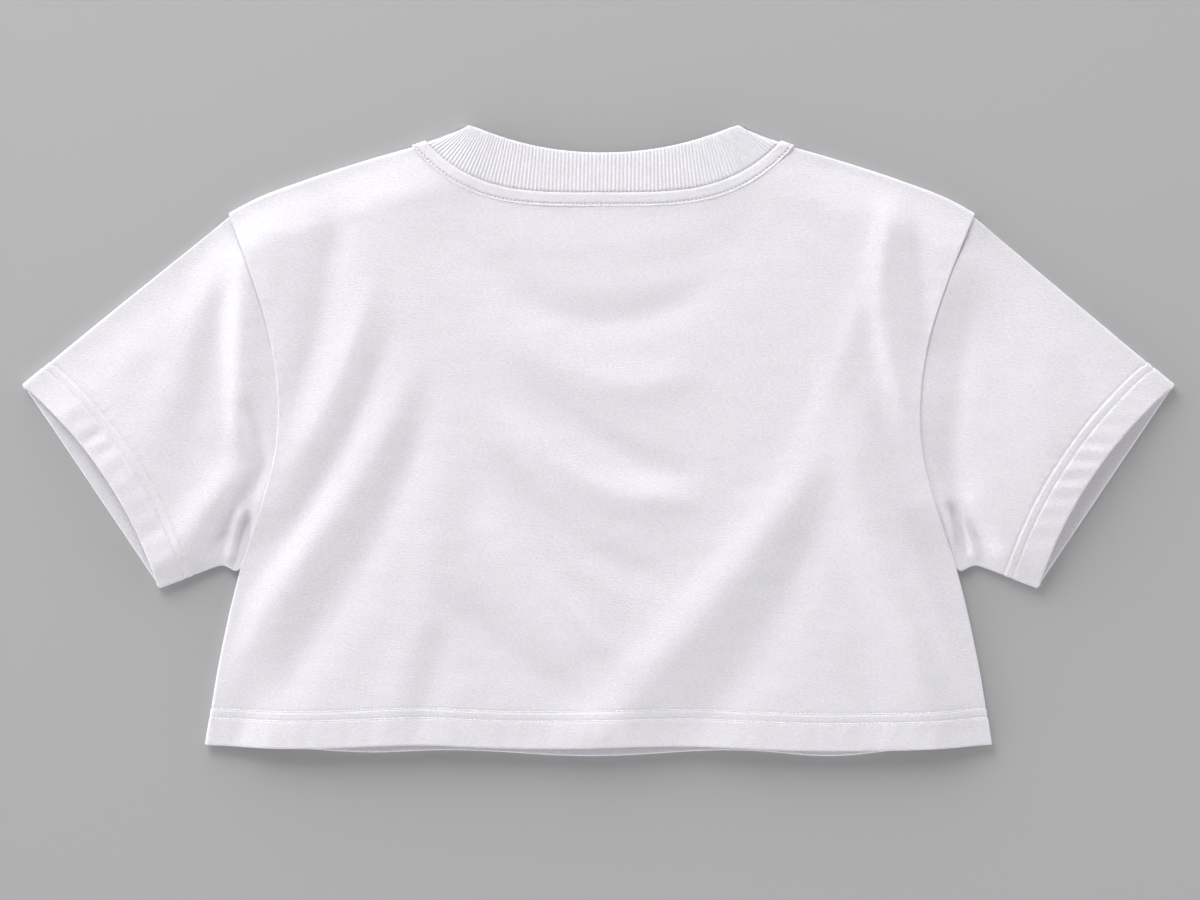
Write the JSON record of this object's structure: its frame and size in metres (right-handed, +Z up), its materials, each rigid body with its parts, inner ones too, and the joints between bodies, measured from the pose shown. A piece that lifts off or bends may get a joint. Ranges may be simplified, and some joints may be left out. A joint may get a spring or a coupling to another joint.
{
  "type": "crop top",
  "caption": "Boxy short-sleeved crop top in heavy jersey with a rib crew collar, laid flat on its front with its back up.",
  "frame": {"origin": "on the surface that it lies on, in the middle of the area it covers", "axes": "+X across the garment, +Y from the hem to the collar, +Z up, out of the garment's back"},
  "size_m": [0.7328, 0.4012, 0.0148],
  "materials": {
    "jersey": "matt white heavy cotton jersey",
    "rib": "matt white cotton rib knit"
  },
  "bodies": {
    "root": {"back_panel": "jersey", "front_panel": "jersey", "sleeve_left": "jersey", "sleeve_right": "jersey", "collar_rib": "rib", "neck_binding": "jersey"}
  },
  "joints": []
}
